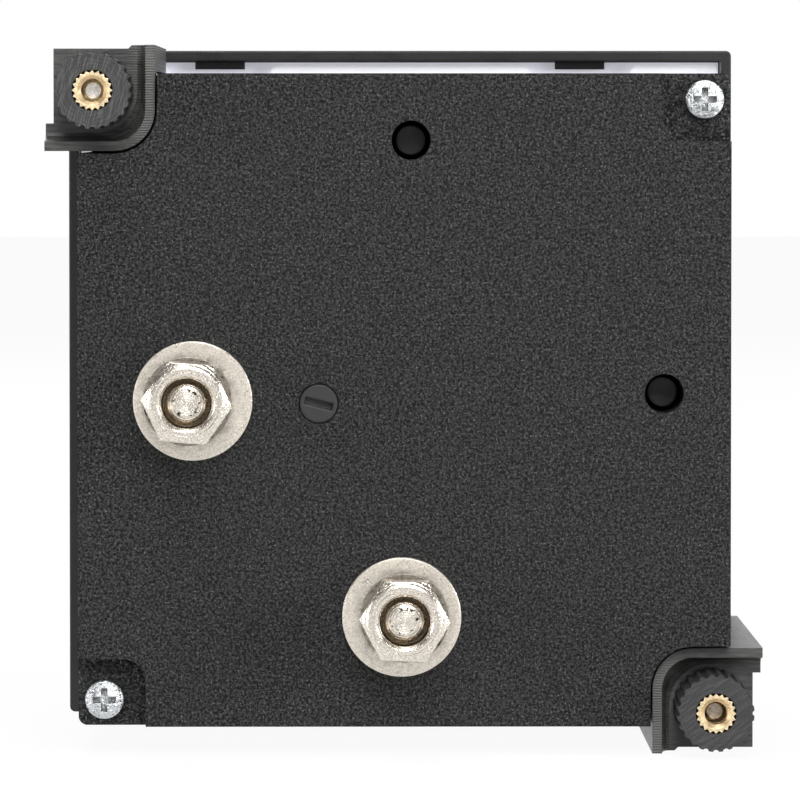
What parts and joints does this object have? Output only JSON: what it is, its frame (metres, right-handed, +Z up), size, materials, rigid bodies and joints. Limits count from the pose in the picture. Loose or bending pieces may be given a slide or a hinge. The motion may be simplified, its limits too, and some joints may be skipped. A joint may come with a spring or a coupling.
{
  "type": "analog panel meter",
  "caption": "Square panel meter with a quarter-circle dial and pointer in front and a deep black case behind, with bolted terminals and screw clamps that grip the panel.",
  "frame": {"origin": "centre of the front frame's rear rim, which seats on the panel", "axes": "+Y out of the back of the meter towards the terminals, +Z up, dial facing -Y"},
  "size_m": [0.0732, 0.0632, 0.0724],
  "materials": {
    "frame_black": "moulded black plastic, semi-gloss",
    "window_clear": "clear moulded plastic, polished",
    "tray_white": "off-white moulded plastic, smooth",
    "dial_white": "white enamelled sheet with a printed scale",
    "case_black": "black plastic with a coarse spark-eroded grain",
    "clamp_black": "black plastic, smooth with fine flow marks",
    "inner_black": "black moulded plastic",
    "zinc_steel": "bright zinc plated steel",
    "nickel": "nickel plated, lightly scratched",
    "brass": "turned brass",
    "iron": "soft iron, plated grey",
    "magnet": "cast magnet alloy",
    "aluminium": "rolled sheet",
    "pointer_black": "black lacquered sheet",
    "copper_winding": "varnished copper wire",
    "spring_bronze": "phosphor bronze strip",
    "board_green": "solder-resist lacquer",
    "component": "lacquered component bodies",
    "lead_red": "insulated wire"
  },
  "bodies": {
    "root": {"bezel": "frame_black", "window": "window_clear", "dial_tray": "tray_white", "dial_plate": "dial_white", "dial_screw_a": "zinc_steel", "dial_screw_b": "zinc_steel", "rear_case": "case_black", "case_screw_a": "zinc_steel", "case_screw_b": "zinc_steel", "movement_frame": "inner_black", "yoke_ring": "iron", "core_magnet": "magnet", "core_holder": "brass", "front_bridge": "brass", "rear_bridge": "brass", "jewel_front": "brass", "jewel_rear": "brass", "hairspring_rear": "spring_bronze", "circuit_board": "board_green", "trimmer_body": "component", "resistor": "component", "rectifier": "inner_black", "lead_wire_a": "lead_red", "lead_wire_b": "lead_red", "terminal_stud_a": "nickel", "terminal_stud_b": "nickel", "solder_tag_a": "nickel", "solder_tag_b": "nickel", "board_nut_a": "zinc_steel", "board_nut_b": "zinc_steel", "clamp_rod_a": "zinc_steel", "clamp_rod_b": "zinc_steel"},
    "pointer_assembly": {"pointer": "pointer_black", "balance_cross": "aluminium", "balance_weights": "brass", "staff_front": "zinc_steel", "staff_rear": "zinc_steel", "coil_former": "aluminium", "coil_winding": "copper_winding"},
    "zero_screw": {"zero_screw": "frame_black"},
    "zero_lever": {"zero_lever": "aluminium", "hairspring_front": "spring_bronze"},
    "trimmer": {"trimmer_rotor": "inner_black"},
    "washers_a": {"flat_washer_a": "nickel", "spring_washer_a": "nickel"},
    "nut_a": {"hex_nut_a": "nickel"},
    "washers_b": {"flat_washer_b": "nickel", "spring_washer_b": "nickel"},
    "nut_b": {"hex_nut_b": "nickel"},
    "clamp_a": {"clamp_bracket_a": "clamp_black"},
    "thumb_nut_a": {"thumb_nut_a": "clamp_black", "brass_insert_a": "brass"},
    "clamp_b": {"clamp_bracket_b": "clamp_black"},
    "thumb_nut_b": {"thumb_nut_b": "clamp_black", "brass_insert_b": "brass"}
  },
  "joints": [
    {"name": "pointer_swing", "type": "hinge", "parent": "root", "child": "pointer_assembly", "pos_m": [0.0195, 0, -0.0195], "axis": [0, 1, 0], "range_deg": [-2, 92], "stiffness_Nm_per_rad": 0.00004},
    {"name": "zero_screw_turn", "type": "hinge", "parent": "root", "child": "zero_screw", "pos_m": [0.02516, 0, -0.02516], "axis": [0, 1, 0], "range_deg": [-60, 60]},
    {"name": "zero_lever_swing", "type": "hinge", "parent": "root", "child": "zero_lever", "pos_m": [0.0195, 0, -0.0195], "axis": [0, 1, 0], "range_deg": [-4, 4]},
    {"name": "trimmer_turn", "type": "hinge", "parent": "root", "child": "trimmer", "pos_m": [0.0087, 0, -0.0003], "axis": [0, 1, 0], "range_deg": [-135, 135]},
    {"name": "washers_a_lift", "type": "slide", "parent": "root", "child": "washers_a", "axis": [0, 1, 0], "range_m": [0, 0.0016]},
    {"name": "nut_a_turn", "type": "hinge", "parent": "washers_a", "child": "nut_a", "pos_m": [0.022, 0, 0], "axis": [0, 1, 0], "range_deg": [0, 720]},
    {"name": "washers_b_lift", "type": "slide", "parent": "root", "child": "washers_b", "axis": [0, 1, 0], "range_m": [0, 0.0016]},
    {"name": "nut_b_turn", "type": "hinge", "parent": "washers_b", "child": "nut_b", "pos_m": [0, 0, -0.022], "axis": [0, 1, 0], "range_deg": [0, 720]},
    {"name": "clamp_a_slide", "type": "slide", "parent": "root", "child": "clamp_a", "axis": [0, 1, 0], "range_m": [-0.002, 0.004]},
    {"name": "thumb_nut_a_turn", "type": "hinge", "parent": "clamp_a", "child": "thumb_nut_a", "pos_m": [0.0315, 0, 0.0315], "axis": [0, 1, 0], "range_deg": [-1600, 3200]},
    {"name": "clamp_b_slide", "type": "slide", "parent": "root", "child": "clamp_b", "axis": [0, 1, 0], "range_m": [-0.002, 0.004]},
    {"name": "thumb_nut_b_turn", "type": "hinge", "parent": "clamp_b", "child": "thumb_nut_b", "pos_m": [-0.0315, 0, -0.0315], "axis": [0, 1, 0], "range_deg": [-1600, 3200]}
  ],
  "couplings": [
    {"joint": "zero_lever_swing", "follows": "zero_screw_turn", "ratio": 0.0598},
    {"joint": "nut_a_turn", "follows": "washers_a_lift", "rad_per_m": 7853.9},
    {"joint": "thumb_nut_a_turn", "follows": "clamp_a_slide", "rad_per_m": 13962},
    {"joint": "nut_b_turn", "follows": "washers_b_lift", "rad_per_m": 7853.9},
    {"joint": "thumb_nut_b_turn", "follows": "clamp_b_slide", "rad_per_m": 13962}
  ]
}
